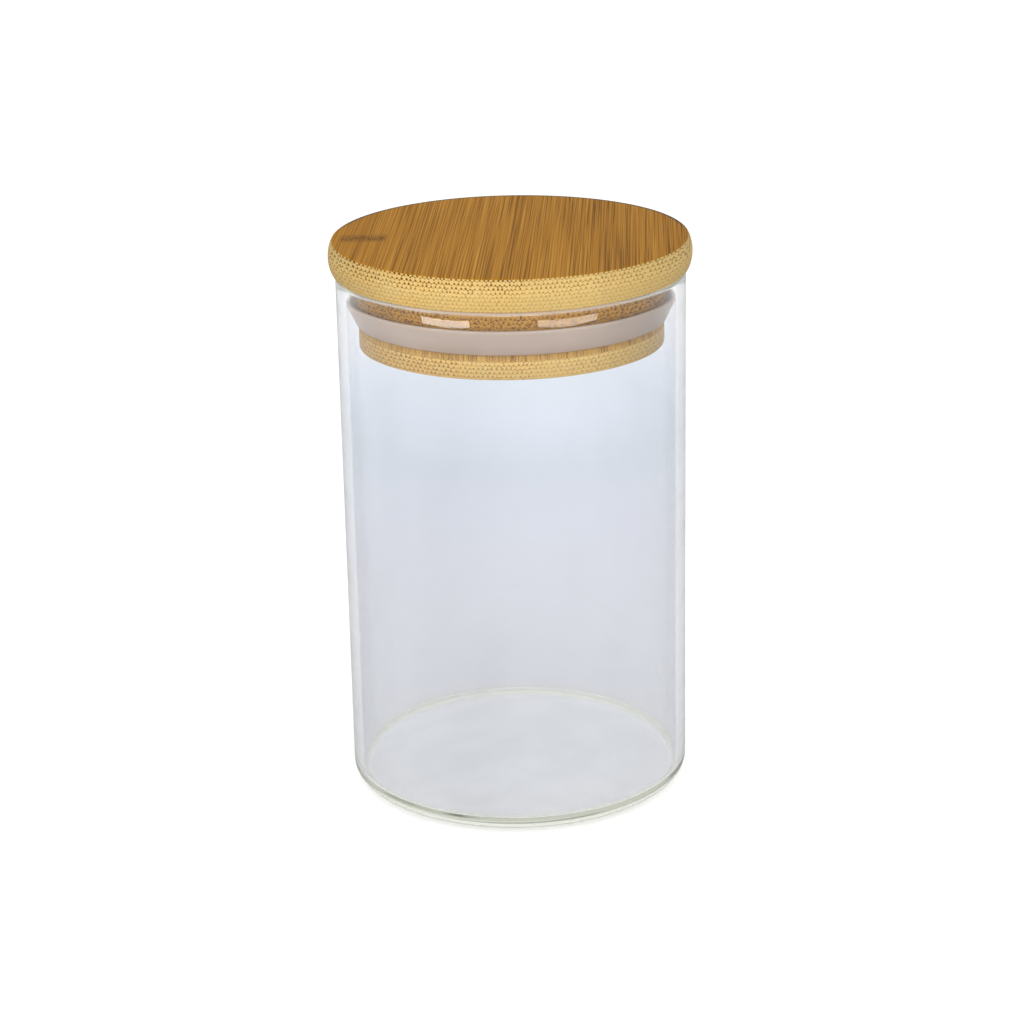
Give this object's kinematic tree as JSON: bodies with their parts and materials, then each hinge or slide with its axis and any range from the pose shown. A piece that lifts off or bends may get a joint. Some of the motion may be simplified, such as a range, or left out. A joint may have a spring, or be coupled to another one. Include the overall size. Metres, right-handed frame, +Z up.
{
  "type": "lidded glass canister",
  "caption": "Round clear glass storage jar with a push-in bamboo lid, sealed by a flared silicone lip.",
  "frame": {"origin": "centre of the jar's flat base, on the surface it stands on", "axes": "+Z up along the jar's and lid's common axis; +Y along the bamboo's fibres, away from the viewer; +X to the right"},
  "size_m": [0.0676, 0.0676, 0.1062],
  "materials": {
    "clear_glass": "clear borosilicate, polished",
    "milky_silicone": "translucent silicone, satin",
    "bamboo_cap": "sanded bamboo with a thin satin lacquer, fibres along Y",
    "bamboo_plug": "sanded bamboo, end grain on the side at +Y and -Y"
  },
  "bodies": {
    "jar": {"glass_jar": "clear_glass"},
    "seal": {"seal_ring": "milky_silicone"},
    "lid": {"cap_strip_1": "bamboo_cap", "cap_strip_2": "bamboo_cap", "cap_strip_3": "bamboo_cap", "cap_strip_4": "bamboo_cap", "cap_strip_5": "bamboo_cap", "neck_strip_1": "bamboo_plug", "neck_strip_2": "bamboo_plug", "neck_strip_3": "bamboo_plug", "neck_strip_4": "bamboo_plug", "neck_strip_5": "bamboo_plug", "plug_strip_1": "bamboo_plug", "plug_strip_2": "bamboo_plug", "plug_strip_3": "bamboo_plug", "plug_strip_4": "bamboo_plug", "plug_strip_5": "bamboo_plug"}
  },
  "joints": [
    {"name": "lid_lift", "type": "slide", "parent": "jar", "child": "seal", "axis": [0, 0, 1], "range_m": [0, 0.06]},
    {"name": "lid_twist", "type": "hinge", "parent": "seal", "child": "lid", "pos_m": [0, 0, 0.1], "axis": [0, 0, 1], "continuous": true}
  ]
}
